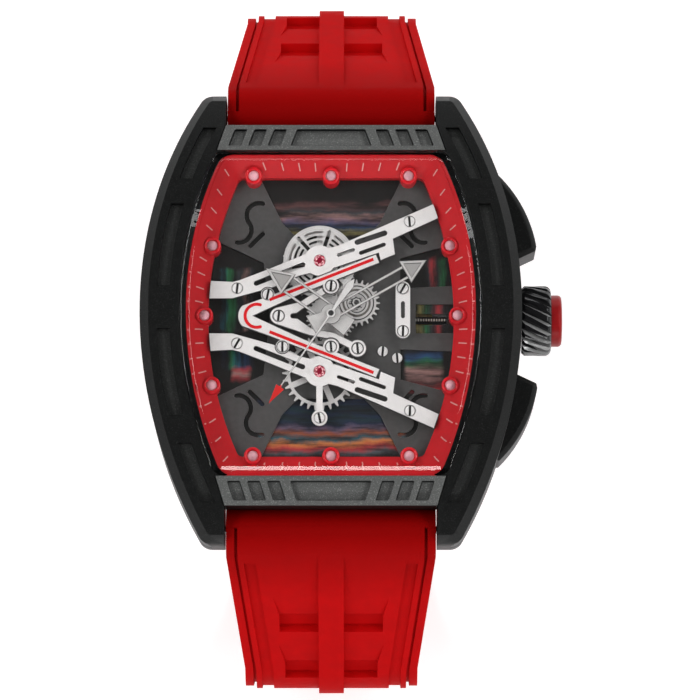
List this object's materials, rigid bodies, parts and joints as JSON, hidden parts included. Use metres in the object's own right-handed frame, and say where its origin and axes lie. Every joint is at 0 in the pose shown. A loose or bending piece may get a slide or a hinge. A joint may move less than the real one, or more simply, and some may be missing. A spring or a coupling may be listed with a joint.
{
  "type": "wristwatch",
  "caption": "Tonneau wristwatch with an openworked dial, fluted crown, two pushers, a curved crystal and an unbuckled moulded rubber strap.",
  "frame": {"origin": "middle of the case back's flat outer face, on the axis of the hands", "axes": "+Z out of the dial, +Y towards 12 o'clock, +X towards the crown"},
  "size_m": [0.048, 0.0816, 0.0658],
  "materials": {
    "case": "satin black, fine vertical grain",
    "bezel": "satin black with grained pockets",
    "crystal": "clear, bevelled and polished",
    "gasket": "black",
    "flange": "satin red",
    "tick": "printed silver",
    "marker_cup": "gloss red",
    "lume": "luminous, pinkish white",
    "dial_base": "black with an iridescent sheen",
    "dial_plate": "grey, satin",
    "bridge": "silvered, bevelled edges",
    "inlay": "gloss red",
    "jewel": "faceted red stone",
    "screw": "slotted, polished rim",
    "wheel": "silvered, circular grain",
    "dark_wheel": "dark",
    "arbor": "polished",
    "hand": "satin silver, raised arrow frame",
    "seconds_hand": "silver with a red arrowhead",
    "holder": "moulded",
    "movement_plate": "plain",
    "battery": "plain",
    "contact": "sprung strip",
    "coil": "enamelled copper wire",
    "board": "plain board",
    "lever": "plain",
    "case_back": "satin black, plain",
    "crown": "gloss black",
    "crown_cap": "satin red",
    "tube": "plain",
    "stem": "plain",
    "pusher": "satin black",
    "clip": "plain",
    "spring": "wound wire",
    "strap": "matte red silicone",
    "spring_bar": "plain",
    "keeper": "matte red silicone",
    "buckle": "satin black"
  },
  "bodies": {
    "case": {"case_middle": "case", "bezel_rail_left": "bezel", "bezel_rail_right": "bezel", "bezel_bar_12": "bezel", "bezel_bar_6": "bezel", "crystal": "crystal", "crystal_gasket": "gasket", "flange_ring": "flange", "minute_ticks": "tick", "marker_cups": "marker_cup", "marker_domes": "lume", "dial_base": "dial_base", "dial_plate": "dial_plate", "bridge_upper": "bridge", "bridge_lower": "bridge", "bridge_nose": "bridge", "bridge_fork": "bridge", "bridge_cock": "bridge", "red_inlays": "inlay", "jewel_settings": "bridge", "jewels": "jewel", "dial_screws": "screw", "movement_holder": "holder", "main_plate": "movement_plate", "battery": "battery", "battery_contact": "contact", "coil": "coil", "circuit_board": "board", "case_back": "case_back", "case_back_gasket": "gasket", "case_back_screws": "screw", "crown_tube": "tube", "lug_spring_bars": "spring_bar"},
    "minute": {"cannon_pinion": "dark_wheel", "centre_wheel": "dark_wheel", "minute_hand": "hand"},
    "hour": {"hour_wheel": "wheel", "hour_hand": "hand"},
    "seconds": {"seconds_arbor": "arbor", "seconds_hand": "seconds_hand"},
    "motion_work": {"minute_wheel": "wheel"},
    "upper_train": {"upper_gear": "wheel", "upper_disc": "wheel"},
    "lower_train": {"lower_wheel": "wheel"},
    "crown_slider": {"setting_lever": "lever"},
    "crown_turner": {"crown": "crown", "crown_cap": "crown_cap", "winding_stem": "stem"},
    "upper_pusher": {"pusher_upper": "pusher", "pusher_clip_upper": "clip", "pusher_spring_upper": "spring"},
    "lower_pusher": {"pusher_lower": "pusher", "pusher_clip_lower": "clip", "pusher_spring_lower": "spring"},
    "upper_strap": {"strap_12": "strap"},
    "lower_strap": {"strap_6": "strap"},
    "buckle": {"buckle_frame": "buckle", "buckle_spring_bar": "spring_bar"},
    "tang": {"buckle_tang": "buckle"},
    "keeper": {"keeper_free": "keeper"}
  },
  "joints": [
    {"name": "minute_turn", "type": "hinge", "parent": "case", "child": "minute", "pos_m": [0, 0, 0], "axis": [0, 0, 1], "continuous": true},
    {"name": "hour_turn", "type": "hinge", "parent": "case", "child": "hour", "pos_m": [0, 0, 0], "axis": [0, 0, 1], "continuous": true},
    {"name": "seconds_turn", "type": "hinge", "parent": "case", "child": "seconds", "pos_m": [0, 0, 0], "axis": [0, 0, 1], "continuous": true},
    {"name": "motion_work_turn", "type": "hinge", "parent": "case", "child": "motion_work", "pos_m": [0.0029, 0.0017, 0], "axis": [0, 0, 1], "continuous": true},
    {"name": "upper_wheel_turn", "type": "hinge", "parent": "case", "child": "upper_train", "pos_m": [-0.0013, 0.00635, 0], "axis": [0, 0, 1], "continuous": true},
    {"name": "lower_wheel_turn", "type": "hinge", "parent": "case", "child": "lower_train", "pos_m": [-0.0013, -0.00635, 0], "axis": [0, 0, 1], "continuous": true},
    {"name": "crown_pull", "type": "slide", "parent": "case", "child": "crown_slider", "axis": [1, 0, 0], "range_m": [0, 0.001]},
    {"name": "crown_turn", "type": "hinge", "parent": "crown_slider", "child": "crown_turner", "pos_m": [0, 0, 0.005], "axis": [1, 0, 0], "continuous": true},
    {"name": "pusher_upper_press", "type": "slide", "parent": "case", "child": "upper_pusher", "axis": [-0.9736, -0.2284, 0], "range_m": [0, 0.001], "stiffness_N_per_m": 400, "springref_m": -0.0005, "deforming": ["pusher_spring_upper"]},
    {"name": "pusher_lower_press", "type": "slide", "parent": "case", "child": "lower_pusher", "axis": [-0.9736, 0.2284, 0], "range_m": [0, 0.001], "stiffness_N_per_m": 400, "springref_m": -0.0005, "deforming": ["pusher_spring_lower"]},
    {"name": "strap_12_pivot", "type": "hinge", "parent": "case", "child": "upper_strap", "pos_m": [0, 0.024, 0.004], "axis": [1, 0, 0], "range_deg": [0, 25]},
    {"name": "strap_6_pivot", "type": "hinge", "parent": "case", "child": "lower_strap", "pos_m": [0, -0.024, 0.004], "axis": [1, 0, 0], "range_deg": [-25, 0]},
    {"name": "buckle_pivot", "type": "hinge", "parent": "upper_strap", "child": "buckle", "pos_m": [0, 0.017, -0.05007], "axis": [1, 0, 0], "range_deg": [-75, 0]},
    {"name": "tang_pivot", "type": "hinge", "parent": "buckle", "child": "tang", "pos_m": [0, 0.017, -0.05007], "axis": [1, 0, 0], "range_deg": [0, 90]},
    {"name": "keeper_slide", "type": "slide", "parent": "upper_strap", "child": "keeper", "axis": [0, 0.2079, 0.9781], "range_m": [-0.001, 0.015]}
  ],
  "couplings": [
    {"joint": "hour_turn", "follows": "minute_turn", "ratio": 0.083333},
    {"joint": "seconds_turn", "follows": "minute_turn", "ratio": 60},
    {"joint": "motion_work_turn", "follows": "minute_turn", "ratio": -0.33333},
    {"joint": "upper_wheel_turn", "follows": "minute_turn", "ratio": -0.6},
    {"joint": "lower_wheel_turn", "follows": "minute_turn", "ratio": -0.6}
  ]
}
